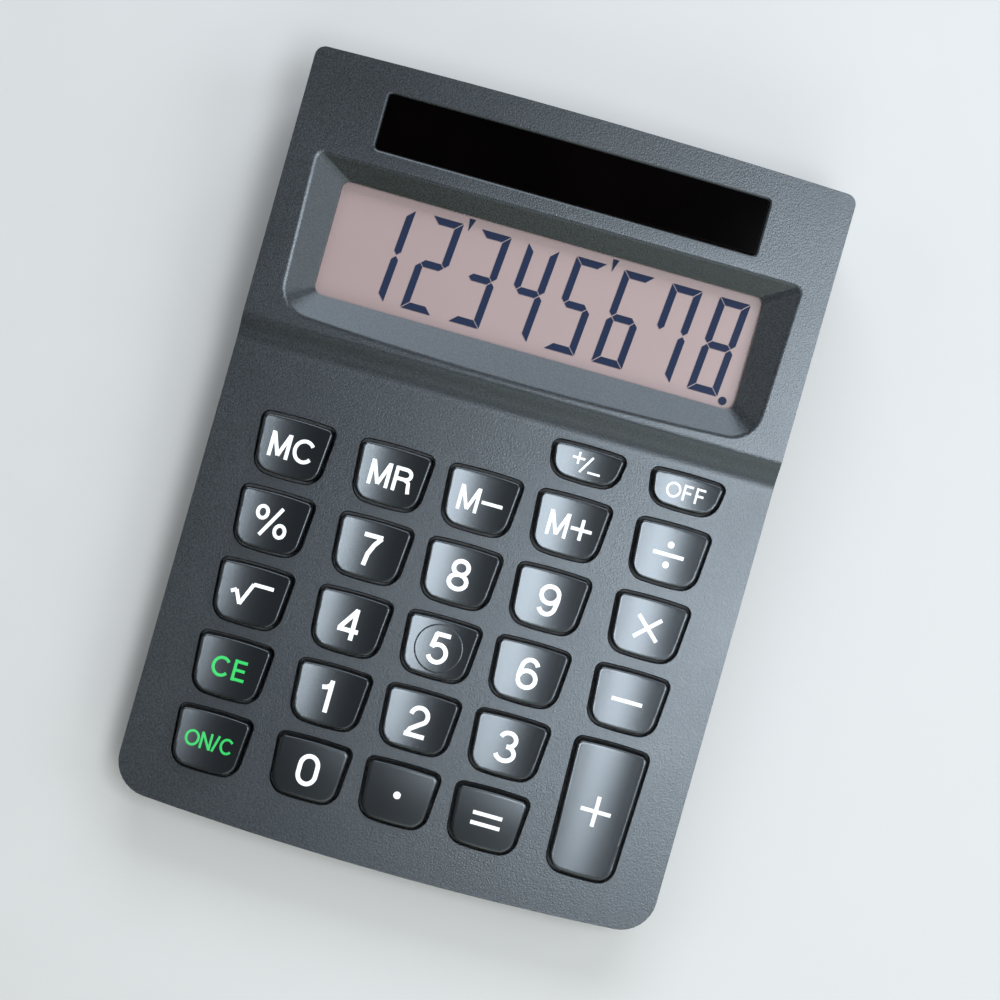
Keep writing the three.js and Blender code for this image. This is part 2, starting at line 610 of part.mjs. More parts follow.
const batteryPlusRoute = [[9.6, 38, 10.6], [10.5, 33, 11.0], [11, 26, 9.6], [10, 20, 9.6]];
const batteryMinusRoute = [[0, 23.5, 6.6], [-3, 21, 6.4], [-5, 17, 7.6], [-5, 14, 9.2]];
const solarPlusRoute = [[-16, 51, 18.4], [-16, 47, 13.5], [-15, 36, 11.4], [-14, 20, 9.4]];
const solarMinusRoute = solarPlusRoute.map(([x, y, z]) => [x - 4, y, z]);
place(group, "battery_wire_red", wire(batteryPlusRoute), wireRed);
place(group, "battery_wire_black", wire(batteryMinusRoute), wireBlack);
place(group, "solar_wire_red", wire(solarPlusRoute), wireRed);
place(group, "solar_wire_black", wire(solarMinusRoute), wireBlack);

export default group;
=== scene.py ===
# %% [markdown]
# # A desk calculator
#
# This lesson finishes a compact desk calculator. The engineering model is already there: a sloping case,
# twenty-six sprung keys, a sunken display and a solar strip. Here each visible piece is rebuilt with
# softer edges, grain, printed legends and a working-looking display, exactly where the engineering
# model has it. The first cell loads that model, with a helper that reads the box of any part.

# %% Load the engineering model
import json
import math

import bmesh
import bpy
from mathutils import Matrix, Vector


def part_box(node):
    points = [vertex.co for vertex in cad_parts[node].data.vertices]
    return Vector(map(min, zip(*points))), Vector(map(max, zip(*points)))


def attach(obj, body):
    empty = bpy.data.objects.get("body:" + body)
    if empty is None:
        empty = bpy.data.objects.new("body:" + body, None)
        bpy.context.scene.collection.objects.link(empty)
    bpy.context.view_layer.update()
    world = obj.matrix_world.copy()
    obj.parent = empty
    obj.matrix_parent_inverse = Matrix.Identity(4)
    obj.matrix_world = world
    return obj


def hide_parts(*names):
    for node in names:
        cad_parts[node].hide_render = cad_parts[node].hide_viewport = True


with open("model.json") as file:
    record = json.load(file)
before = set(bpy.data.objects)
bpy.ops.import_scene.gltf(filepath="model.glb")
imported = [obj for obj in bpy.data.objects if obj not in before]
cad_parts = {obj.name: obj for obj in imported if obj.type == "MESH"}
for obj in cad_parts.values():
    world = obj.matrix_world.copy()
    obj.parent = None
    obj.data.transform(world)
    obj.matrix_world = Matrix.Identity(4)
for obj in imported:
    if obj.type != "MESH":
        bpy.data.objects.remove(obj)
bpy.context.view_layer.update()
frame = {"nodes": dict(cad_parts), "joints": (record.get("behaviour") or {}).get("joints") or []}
MM = 0.001

# %% [markdown]
# ## Two sloping planes
#
# The key field and the display each lie on their own slope. Working in world coordinates would mean
# tilting every number by hand. Instead each plane gets a matrix of its own: x to the right, y up the
# slope and z square to the surface. A piece is modelled flat on its plane and the matrix lays it in place.
# The key plane's slope is read from the direction in which the keys are pressed.

# %% Place the key plane and the display plane
KEY_HEIGHT = 2.0 * MM
WINDOW_DEPTH = 2.4 * MM
DISPLAY_SLOPE = math.radians(6.5)
DISPLAY_LENGTH = 43.3 * MM
BLEND_LENGTH = 4.4 * MM

press = Vector(frame["joints"][0]["axis"]).normalized()
key_slope = math.atan2(press.y, -press.z)
case_low, case_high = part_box("top_case")
half_width = case_high.x
half_length = case_high.y
parting_z = case_low.z


def points_of(node):
    return [vertex.co.copy() for vertex in frame["nodes"][node].data.vertices]


def sloping_plane(slope, y, node, height):
    """The matrix of a plane that lies `height` below the top of a node and starts at y."""
    turn = Matrix.Rotation(slope, 4, "X")
    up = turn @ Vector((0, 0, 1))
    level = max(up.dot(point) for point in points_of(node)) - height
    return Matrix.Translation((0, y, (level - up.y * y) / up.z)) @ turn


blend_rear_y = half_length - DISPLAY_LENGTH * math.cos(DISPLAY_SLOPE)
blend_front_y = blend_rear_y - BLEND_LENGTH
key_plane = sloping_plane(key_slope, blend_front_y, "key_7", KEY_HEIGHT)
display_plane = sloping_plane(DISPLAY_SLOPE, blend_rear_y, "display_window", -WINDOW_DEPTH)


def box_on(plane, node):
    """A node's lowest and highest corner, measured on one of the sloping planes."""
    flat = [plane.inverted() @ point for point in points_of(node)]
    low = Vector(min(point[axis] for point in flat) for axis in range(3))
    high = Vector(max(point[axis] for point in flat) for axis in range(3))
    return low, high


RUN_OUT = 0.7 * MM
HOLLOW_SHARE = 0.60
CREST_SHARE = 0.24
run_out_y = blend_front_y - RUN_OUT


def climb(share):
    """How much of the rise is done: a long hollow at the foot, an even slope, and a short rounded crest."""
    total = 1 - HOLLOW_SHARE / 2 - CREST_SHARE / 2
    if share < HOLLOW_SHARE:
        done = share * share / (2 * HOLLOW_SHARE)
    elif share < 1 - CREST_SHARE:
        done = share - HOLLOW_SHARE / 2
    else:
        done = total - (1 - share) * (1 - share) / (2 * CREST_SHARE)
    return done / total


def top_height(y):
    """The height of the case's top at y: two slopes with a soft S between them."""
    on_keys = key_plane.translation.z + math.tan(key_slope) * (y - blend_front_y)
    on_display = display_plane.translation.z + math.tan(DISPLAY_SLOPE) * (y - blend_rear_y)
    risen = climb(min(max((y - run_out_y) / (blend_rear_y - run_out_y), 0), 1))
    return on_keys * (1 - risen) + on_display * risen


print("key slope in degrees:", round(math.degrees(key_slope), 2))
shown_places = (-half_length, blend_rear_y, half_length)
print("heights front, blend, rear in mm:", [round(top_height(y) / MM, 2) for y in shown_places])

# %% [markdown]
# ## Helpers for meshes
#
# Most pieces here start as the same kind of flat plate: four corners, of which the front ones are rounder
# than the rear ones, with edges that bow outwards a little. The plate is made with operators: a face from
# four vertices, a vertex bevel for the corners, extra cuts in the rear and front edges, and then a smooth
# push that bows them. `raise_faces` gives a plate its thickness, and `make_piece` turns a finished bmesh
# into an object that rides on its body.

# %% Plates, pieces and edges
SAME_LEVEL = 0.0001 * MM
MERGE_WITHIN = 0.001 * MM


def add_cuts(edge, cuts):
    """Cuts an edge into equal lengths and leaves the face beside it whole."""
    start = edge.verts[0]
    for left in range(cuts, 0, -1):
        other, start = bmesh.utils.edge_split(edge, start, 1 / (left + 1))
        edge = max((edge, other), key=lambda e: e.calc_length())


def plate(bm, rear, front, rear_half, front_half, rear_radius, front_radius, rear_bow=0, front_bow=0,
          corner_steps=6, edge_cuts=13):
    """A flat face with rounded corners, whose rear and front edges bow outwards."""
    places = ((-rear_half, rear), (-front_half, front), (front_half, front), (rear_half, rear))
    corners = [bm.verts.new((x, y, 0)) for x, y in places]
    face = bm.faces.new(corners)
    for pair, radius in ((corners[1:3], front_radius), ((corners[0], corners[3]), rear_radius)):
        rounded = bmesh.ops.bevel(bm, geom=list(pair), affect="VERTICES", offset=radius,
                                  segments=corner_steps, profile=0.5, material=-1, clamp_overlap=False)
        face = rounded["verts"][0].link_faces[0]
    long_edges = [edge for edge in face.edges if edge.calc_length() > front_half
                  and abs(edge.verts[0].co.y - edge.verts[1].co.y) < SAME_LEVEL]
    for edge in long_edges:
        add_cuts(edge, edge_cuts)
    middle = (rear + front) / 2
    for vertex in face.verts:
        across = vertex.co.x / rear_half
        if vertex.co.y > middle:
            vertex.co.y -= rear_bow * across * across
        else:
            vertex.co.y += front_bow * across * across
    return face


def only_edges(bm, face):
    """Removes a face and gives back the loop of edges that bounded it."""
    edges = list(face.edges)
    bmesh.ops.delete(bm, geom=[face], context="FACES_ONLY")
    return edges


def lay(bm, verts, matrix):
    """Moves vertices by a matrix, such as from a flat drawing onto a sloping plane."""
    bmesh.ops.transform(bm, matrix=matrix, verts=list(verts))


def verts_of(edges):
    return list({vertex for edge in edges for vertex in edge.verts})


def drop(bm, edges, direction):
    """Extrudes a loop of edges by a vector and gives back the new loop."""
    made = bmesh.ops.extrude_edge_only(bm, edges=edges)["geom"]
    verts = [item for item in made if isinstance(item, bmesh.types.BMVert)]
    bmesh.ops.translate(bm, verts=verts, vec=direction)
    return [item for item in made if isinstance(item, bmesh.types.BMEdge)
            and all(vertex in verts for vertex in item.verts)]


def raise_faces(bm, faces, height):
    """Extrudes faces upwards and gives back the upper vertices."""
    made = bmesh.ops.extrude_face_region(bm, geom=list(faces))["geom"]
    upper = [item for item in made if isinstance(item, bmesh.types.BMVert)]
    bmesh.ops.translate(bm, verts=upper, vec=(0, 0, height))
    return upper


def edges_between(bm, verts):
    """The edges whose two ends are both among these vertices."""
    return [edge for edge in bm.edges if all(vertex in verts for vertex in edge.verts)]


def make_piece(name, bm, body, material, nodes=(), sharp=35, soften=True):
    """Finishes a bmesh as a named piece that rides on a body and stands for CAD nodes."""
    bmesh.ops.remove_doubles(bm, verts=bm.verts, dist=MERGE_WITHIN)
    bmesh.ops.recalc_face_normals(bm, faces=bm.faces)
    for item in bm.faces:
        item.smooth = True
    for edge in bm.edges:
        if edge.calc_face_angle(0) > math.radians(sharp):
            edge.smooth = False
    mesh = bpy.data.meshes.new(name)
    bm.to_mesh(mesh)
    bm.free()
    piece = bpy.data.objects.new(name, mesh)
    bpy.context.scene.collection.objects.link(piece)
    mesh.materials.append(material)
    if soften:
        weighted = piece.modifiers.new("even shading", "WEIGHTED_NORMAL")
        weighted.keep_sharp = True
    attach(piece, body)
    if nodes:
        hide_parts(*nodes)
    return piece


# %% [markdown]
# ## Materials
#
# Moulded plastic is never one flat colour. The case has a fine spark-eroded grain, which is a very small
# noise in the bump, with a slower noise that shifts the colour and the roughness a little where hands have
# polished it. One helper makes all such finishes from a few numbers. All patterns read Object coordinates,
# so they stay on the piece when it moves.

# %% A helper for procedural finishes
def finish(name, color, roughness, grain_size=0.3 * MM, grain_height=0.02 * MM, variation=0.08,
           patch_size=12 * MM, metallic=0.0, roughness_spread=0.05, detail=3.0, specular=0.5,
           tint=(1, 1, 1), speckle=0.0):
    """A procedural material: fine grain in the bump, slow patches in the colour and the roughness."""
    material = bpy.data.materials.new(name)
    material.use_nodes = True
    nodes = material.node_tree.nodes
    links = material.node_tree.links
    shader = nodes["Principled BSDF"]
    shader.inputs["Metallic"].default_value = metallic
    shader.inputs["Specular IOR Level"].default_value = specular
    shader.inputs["Specular Tint"].default_value = (*tint, 1)
    coordinates = nodes.new("ShaderNodeTexCoord")

    grain = nodes.new("ShaderNodeTexNoise")
    grain.inputs["Scale"].default_value = 1 / grain_size
    grain.inputs["Detail"].default_value = detail
    grain.inputs["Roughness"].default_value = 0.6
    links.new(coordinates.outputs["Object"], grain.inputs["Vector"])
    bump = nodes.new("ShaderNodeBump")
    bump.inputs["Strength"].default_value = 1.0
    bump.inputs["Distance"].default_value = grain_height
    links.new(grain.outputs["Fac"], bump.inputs["Height"])
    links.new(bump.outputs["Normal"], shader.inputs["Normal"])

    patches = nodes.new("ShaderNodeTexNoise")
    patches.inputs["Scale"].default_value = 1 / patch_size
    patches.inputs["Detail"].default_value = 4.0
    links.new(coordinates.outputs["Object"], patches.inputs["Vector"])
    ramp = nodes.new("ShaderNodeValToRGB")
    dark = [channel * (1 - variation) for channel in color]
    light = [min(channel * (1 + variation), 1) for channel in color]
    ramp.color_ramp.interpolation = "EASE"
    ramp.color_ramp.elements[0].position = 0.2
    ramp.color_ramp.elements[0].color = (*dark, 1)
    ramp.color_ramp.elements[1].position = 0.8
    ramp.color_ramp.elements[1].color = (*light, 1)
    links.new(patches.outputs["Fac"], ramp.inputs["Fac"])
    speck = nodes.new("ShaderNodeMapRange")
    speck.inputs["From Min"].default_value = 0.3
    speck.inputs["From Max"].default_value = 0.7
    speck.inputs["To Min"].default_value = 1 - speckle
    speck.inputs["To Max"].default_value = 1 + speckle
    links.new(grain.outputs["Fac"], speck.inputs["Value"])
    mottled = nodes.new("ShaderNodeVectorMath")
    mottled.operation = "SCALE"
    links.new(ramp.outputs["Color"], mottled.inputs["Vector"])
    links.new(speck.outputs["Result"], mottled.inputs["Scale"])
    links.new(mottled.outputs["Vector"], shader.inputs["Base Color"])

    spread = nodes.new("ShaderNodeMapRange")
    spread.inputs["To Min"].default_value = max(roughness - roughness_spread, 0.02)
    spread.inputs["To Max"].default_value = roughness + roughness_spread
    links.new(patches.outputs["Fac"], spread.inputs["Value"])
    links.new(spread.outputs["Result"], shader.inputs["Roughness"])
    return material


COOL_SHEEN = (0.84, 0.93, 1.0)
graphite = finish("grained graphite plastic", (0.014, 0.016, 0.018), 0.295, grain_size=0.28 * MM,
                  grain_height=0.021 * MM, roughness_spread=0.03, detail=2.0, tint=COOL_SHEEN, speckle=0.7)
key_black = finish("satin black keys", (0.0035, 0.0042, 0.005), 0.245, grain_size=0.2 * MM,
                   grain_height=0.0008 * MM, roughness_spread=0.015, specular=0.57, tint=COOL_SHEEN)
legend_white = finish("white legend ink", (0.82, 0.83, 0.85), 0.5, grain_size=0.1 * MM,
                      grain_height=0.004 * MM)
legend_green = finish("green legend ink", (0.003, 0.44, 0.075), 0.5, grain_size=0.1 * MM,
                      grain_height=0.004 * MM)

# %% [markdown]
# ## The top case
#
# The top case is one moulding: a sloping roof with side walls, pierced by the key holes and the two window
# seats. Cutting twenty-six holes with boolean modifiers leaves untidy edges that don't take a bevel. Here
# the roof is filled between loops instead: each hole is a plate whose face is taken away, and
# `triangle_fill` closes the flat roof around all the loops at once. Every rim can then be bevelled.

# %% Key holes and their sizes
KEY_TAPER = 0.65 * MM
LIP_WIDTH = 0.35 * MM
REAR_KEY_RADIUS = 1.25 * MM
FRONT_KEY_RADIUS = 2.3 * MM
KEY_REAR_BOW = 0.25 * MM
KEY_FRONT_BOW = 0.45 * MM
key_names = sorted(name for name in frame["nodes"] if name.startswith("key_") and name != "key_mat")


def key_place(name):
    """The middle of a key and half the width and length of its hole, on the key plane."""
    low, high = box_on(key_plane, name)
    middle = (low + high) / 2
    return middle.x, middle.y, (high.x - low.x) / 2 - LIP_WIDTH, (high.y - low.y) / 2 - LIP_WIDTH


def key_outline(bm, name, grow):
    """The shield outline of a key or its hole, on the key plane."""
    x, y, half_x, half_y = key_place(name)
    face = plate(bm, half_y + grow, -half_y - grow, half_x + grow, half_x - KEY_TAPER + grow,
                 REAR_KEY_RADIUS + grow, FRONT_KEY_RADIUS + grow, KEY_REAR_BOW, KEY_FRONT_BOW, edge_cuts=9)
    bmesh.ops.translate(bm, verts=list(face.verts), vec=(x, y, 0))
    return face


plain_hole = [round(2 * half / MM, 2) for half in key_place("key_7")[2:]]
print(len(key_names), "keys; a plain hole is", plain_hole, "mm")

# %% [markdown]
# ## Outlines of the case and its display openings
#
# The case and its two display openings are plates too. The display lies in a recess, with a wide mouth at
# the surface, a smaller throat round the window, and sloping walls between them. The solar strip behind it
# has a plain opening of its own. Drawing each outline flat and laying it on the slope keeps them simple.

# %% Outlines of the case and its display openings
REAR_BOW = 0.7 * MM
FRONT_BOW = 1.7 * MM
REAR_CORNER = 1.6 * MM
FRONT_CORNER = 5.2 * MM
MOUTH_REAR = 26.9 * MM
MOUTH_FRONT = 0.4 * MM
MOUTH_REAR_HALF = 39.1 * MM
MOUTH_FRONT_HALF = 38.35 * MM
MOUTH_FRONT_CORNER = 4.2 * MM
MOUTH_BOW = 1.3 * MM
THROAT_HALF_X = 34.1 * MM
THROAT_HALF_Y = 9.1 * MM
THROAT_FRONT_CORNER = 1.5 * MM
SHARP_CORNER = 1.2 * MM
SOLAR_REAR_OVERLAP = 0.35 * MM
SOLAR_FRONT_OVERLAP = 0.15 * MM
SOLAR_SIDE_OVERLAP = 0.05 * MM
SOLAR_CORNER = 0.6 * MM
SOLAR_BOW = 0.15 * MM

window_low, window_high = box_on(display_plane, "display_window")
solar_low, solar_high = box_on(display_plane, "solar_window")
window_middle_y = (window_low.y + window_high.y) / 2


def case_outline(bm):
    return plate(bm, half_length, -half_length, half_width, half_width, REAR_CORNER, FRONT_CORNER,
                 REAR_BOW, FRONT_BOW, corner_steps=8, edge_cuts=24)


def mouth_outline(bm):
    return plate(bm, MOUTH_REAR, MOUTH_FRONT, MOUTH_REAR_HALF, MOUTH_FRONT_HALF, SHARP_CORNER,
                 MOUTH_FRONT_CORNER, 0, MOUTH_BOW)


def throat_outline(bm):
    rear_y = window_middle_y + THROAT_HALF_Y
    front_y = window_middle_y - THROAT_HALF_Y
    return plate(bm, rear_y, front_y, THROAT_HALF_X, THROAT_HALF_X, SHARP_CORNER, THROAT_FRONT_CORNER)


def solar_outline(bm):
    """The solar opening, cut a little smaller than its window."""
    rear_y = solar_high.y - SOLAR_REAR_OVERLAP
    front_y = solar_low.y - SOLAR_FRONT_OVERLAP
    half_x = solar_high.x - SOLAR_SIDE_OVERLAP
    return plate(bm, rear_y, front_y, half_x, half_x, SOLAR_CORNER, SOLAR_CORNER, SOLAR_BOW)


def loop_on(bm, plane, outline, *settings):
    """An outline laid on a sloping plane, as a bare loop of edges."""
    face = outline(bm, *settings)
    lay(bm, face.verts, plane)
    return only_edges(bm, face)


def cut_along(bm, heights):
    for y in heights:
        geometry = list(bm.verts) + list(bm.edges) + list(bm.faces)
        bmesh.ops.bisect_plane(bm, geom=geometry, plane_co=(0, y, 0), plane_no=(0, 1, 0))


mouth_size = (2 * MOUTH_REAR_HALF, MOUTH_REAR - MOUTH_FRONT)
print("recess mouth in mm:", [round(size / MM, 2) for size in mouth_size])

# %% [markdown]
# ## The roof
#
# The case's outline is cut across where the step lies, and each point is lifted to the height of the roof
# there, which bends the sheet into its soft S. The two flat fields are then opened and filled again around
# the loops of their holes, and a bridge makes the sloping walls of the recess.

# %% Fill the roof around its openings
BLEND_CUTS = 18
RECESS_DEPTH = 2.0 * MM

case = bmesh.new()
case_outline(case)
step = (blend_rear_y - run_out_y) / BLEND_CUTS
cut_along(case, [run_out_y + step * i for i in range(BLEND_CUTS + 1)])
roof_rim = [edge for edge in case.edges if len(edge.link_faces) == 1]
for vertex in case.verts:
    vertex.co.z = top_height(vertex.co.y)
key_field = min(case.faces, key=lambda f: f.calc_center_median().y)
display_field = max(case.faces, key=lambda f: f.calc_center_median().y)
key_field_edges = only_edges(case, key_field)
display_field_edges = only_edges(case, display_field)

hole_loops = [loop_on(case, key_plane, key_outline, name, 0) for name in key_names]
mouth = loop_on(case, display_plane, mouth_outline)
throat = loop_on(case, display_plane @ Matrix.Translation((0, 0, -RECESS_DEPTH)), throat_outline)
solar_rim = loop_on(case, display_plane, solar_outline)

key_up = key_plane.to_3x3() @ Vector((0, 0, 1))
display_up = display_plane.to_3x3() @ Vector((0, 0, 1))
hole_edges = [edge for loop in hole_loops for edge in loop]
bmesh.ops.triangle_fill(case, edges=key_field_edges + hole_edges, use_beauty=True, use_dissolve=False,
                        normal=key_up)
bmesh.ops.triangle_fill(case, edges=display_field_edges + mouth + solar_rim, use_beauty=True,
                        use_dissolve=False, normal=display_up)
bmesh.ops.bridge_loops(case, edges=mouth + throat)
print("roof:", len(case.faces), "faces around", len(hole_loops), "key holes")

# %% [markdown]
# ## Walls and ceiling
#
# A moulding is a shell. The roof's rim is drawn down to the parting line, in by the thickness of the wall,
# and up again to the ceiling, which lies deeper under the display. The walls of the openings come down to
# meet it, and one more fill closes the ceiling around them.

# %% Add the walls and the ceiling
WALL = 1.8 * MM
LIP_DEPTH = 2.35 * MM
LEDGE_DEPTH = 1.2 * MM
REAR_WALL = 3.4 * MM

lower_loops = [drop(case, loop, -WALL * key_up) for loop in hole_loops]
window_lip = drop(case, throat, -(LIP_DEPTH - RECESS_DEPTH) * display_up)
lower_loops.append(drop(case, window_lip, -(REAR_WALL - LIP_DEPTH) * display_up))
solar_ledge = drop(case, solar_rim, -LEDGE_DEPTH * display_up)
lower_loops.append(drop(case, solar_ledge, -(REAR_WALL - LEDGE_DEPTH) * display_up))

foot_rim = drop(case, roof_rim, (0, 0, 0))
for vertex in verts_of(foot_rim):
    vertex.co.z = parting_z
inner_rim = drop(case, foot_rim, (0, 0, 0))
for vertex in verts_of(inner_rim):
    vertex.co.x *= (half_width - WALL) / half_width
    vertex.co.y *= (half_length - WALL) / half_length
ceiling = drop(case, inner_rim, (0, 0, 0))
for vertex in verts_of(ceiling):
    depth = WALL if vertex.co.y < blend_front_y else REAR_WALL
    vertex.co.z = top_height(vertex.co.y) - depth
inner_edges = ceiling + [edge for loop in lower_loops for edge in loop]
bmesh.ops.triangle_fill(case, edges=inner_edges, use_beauty=True, use_dissolve=False, normal=(0, 0, 1))
print("shell:", len(case.faces), "faces")

# %% [markdown]
# ## Rounded rims
#
# A moulded edge is never sharp, and a rounded one catches a line of light. Every rim is bevelled while its
# loop of edges is still known. Smooth shading would make a flat face beside a rim look curved, so the edges
# between the flats and the rims are marked sharp.

# %% Round the rims and finish the top case
CASE_RIM = 1.0 * MM
HOLE_RIM = 0.18 * MM
OPENING_RIM = 0.4 * MM
FLAT_WITHIN = math.radians(0.5)
RIM_FROM = math.radians(8)


def round_rim(bm, edges, radius, steps):
    bmesh.ops.bevel(bm, geom=edges, affect="EDGES", offset=radius, segments=steps, profile=0.5,
                    material=-1, clamp_overlap=True)


round_rim(case, [e for e in roof_rim if e.is_valid], CASE_RIM, 5)
round_rim(case, [e for e in hole_edges if e.is_valid], HOLE_RIM, 3)
round_rim(case, [e for e in mouth + solar_rim if e.is_valid], OPENING_RIM, 3)


def crease_beside_flats(bm, directions):
    """Marks the edges where a flat face meets a rounded rim, so that the flat is shaded evenly."""
    for edge in bm.edges:
        normals = [face.normal for face in edge.link_faces]
        for up in directions:
            turns = [up.angle(normal, math.pi) for normal in normals]
            if min(turns) < FLAT_WITHIN and max(turns) > RIM_FROM:
                edge.smooth = False


bmesh.ops.recalc_face_normals(case, faces=case.faces)
crease_beside_flats(case, (key_up, display_up))
open_edges = [edge for edge in case.edges if len(edge.link_faces) != 2]
print("top case:", len(case.faces), "faces,", len(open_edges), "open edges")
make_piece("top_case_shell", case, "case", graphite, ["top_case"])

# %% [markdown]
# ## Key caps
#
# A key cap is the hole's own outline, a little smaller, with a softly rounded top rim. Most caps are dished
# from left to right so that a finger finds their middle, and 0, point and equals roll over towards the user
# instead. A plate is drawn upwards, its rim is bevelled, and bisecting planes give the top enough cuts for
# the dish to be pushed into it.

# %% Shape and place the key caps
CAP_FOOT = -2.9 * MM
DISH = 0.42 * MM
CAP_GAP = 0.33 * MM
ROLL = 0.5 * MM
ROLLED_KEYS = ("key_0", "key_point", "key_equals")
ROLLED_SAG = 0.1 * MM
CAP_DRAFT = 0.985
CAP_RIM = 0.34 * MM
CAP_BORDER = 0.25 * MM
CAP_CUTS = 9


def cap_drop(name, x, y):
    """How far a cap's top lies below its highest level, x and y from its middle."""
    _, _, half_x, half_y = key_place(name)
    across = min(abs(x) / half_x, 1)
    along = y / half_y
    if name in ROLLED_KEYS:
        return ROLL * ((1 - along) / 2) ** 2 + ROLLED_SAG * across * across
    return DISH * (1 - across * across)


def key_cap(name):
    bm = bmesh.new()
    x, y, half_x, half_y = key_place(name)
    key_outline(bm, name, -CAP_GAP)
    bmesh.ops.translate(bm, verts=list(bm.verts), vec=(0, 0, CAP_FOOT))
    top_verts = raise_faces(bm, bm.faces, KEY_HEIGHT - CAP_FOOT)
    middle_out = Matrix.Translation((x, y, 0))
    draft = middle_out @ Matrix.Diagonal((CAP_DRAFT, CAP_DRAFT, 1, 1)) @ Matrix.Translation((-x, -y, 0))
    lay(bm, top_verts, draft)
    round_rim(bm, edges_between(bm, top_verts), CAP_RIM, 4)
    top = max(bm.faces, key=lambda f: f.calc_center_median().z * (len(f.verts) > 4))
    bmesh.ops.inset_individual(bm, faces=[top], thickness=CAP_BORDER, use_even_offset=True)
    for i in range(1, CAP_CUTS + 1):
        for axis, middle, half in ((0, x, half_x), (1, y, half_y)):
            place = [0, 0, 0]
            place[axis] = middle - half + 2 * half * i / (CAP_CUTS + 1)
            normal = [0, 0, 0]
            normal[axis] = 1
            geometry = list(bm.verts) + list(bm.edges) + list(bm.faces)
            bmesh.ops.bisect_plane(bm, geom=geometry, plane_co=place, plane_no=normal)
    for vertex in bm.verts:
        if vertex.co.z > 0:
            share = min(vertex.co.z / KEY_HEIGHT, 1)
            vertex.co.z -= share * cap_drop(name, vertex.co.x - x, vertex.co.y - y)
    lay(bm, bm.verts, key_plane)
    return make_piece(name.replace("key_", "cap_"), bm, name, key_black, [name], sharp=60)


for name in key_names:
    key_cap(name)
print("key caps made:", len(key_names))

# %% [markdown]
# ## The raised disc on the 5
#
# The middle key carries a flat raised disc that a finger can find without looking. It is made like a coin: a
# circle is drawn upwards and its upper edge is rounded, and the coin is then bent to follow the dish.

# %% Make the finger disc
DISC_RADIUS = 3.85 * MM
DISC_RISE = 0.16 * MM
DISC_ROOT = 0.3 * MM
DISC_RIM = 0.13 * MM
DISC_BORDER = 0.15 * MM
DISC_CUTS = 6


def finger_disc():
    bm = bmesh.new()
    x, y, _, _ = key_place("key_5")
    bmesh.ops.create_circle(bm, cap_ends=True, radius=DISC_RADIUS, segments=72)
    top_verts = raise_faces(bm, bm.faces, DISC_RISE + DISC_ROOT)
    round_rim(bm, edges_between(bm, top_verts), DISC_RIM, 3)
    top = max(bm.faces, key=lambda f: f.calc_center_median().z * (len(f.verts) > 4))
    bmesh.ops.inset_individual(bm, faces=[top], thickness=DISC_BORDER, use_even_offset=True)
    for i in range(1 - DISC_CUTS, DISC_CUTS):
        geometry = list(bm.verts) + list(bm.edges) + list(bm.faces)
        cut_x = DISC_RADIUS * i / DISC_CUTS
        bmesh.ops.bisect_plane(bm, geom=geometry, plane_co=(cut_x, 0, 0), plane_no=(1, 0, 0))
    for vertex in bm.verts:
        vertex.co.z += KEY_HEIGHT - DISC_ROOT - cap_drop("key_5", vertex.co.x, vertex.co.y)
    lay(bm, bm.verts, key_plane @ Matrix.Translation((x, y, 0)))
    return make_piece("finger_disc_5", bm, "key_5", key_black, sharp=60)


disc = finger_disc()
print("finger disc:", len(disc.data.polygons), "faces")

# %% [markdown]
# ## Legends
#
# The legends are pad-printed in plain strokes of even weight. A ready-made font would bring its own
# character with it, so each sign is drawn here as a few strokes on a unit grid, one unit high.

# %% Draw the signs as strokes
def arc(x, y, radius_x, radius_y, start, end, steps=14):
    """Points along an ellipse, from one angle to another in degrees."""
    turns = [math.radians(start + (end - start) * i / steps) for i in range(steps + 1)]
    return [(x + radius_x * math.cos(turn), y + radius_y * math.sin(turn)) for turn in turns]


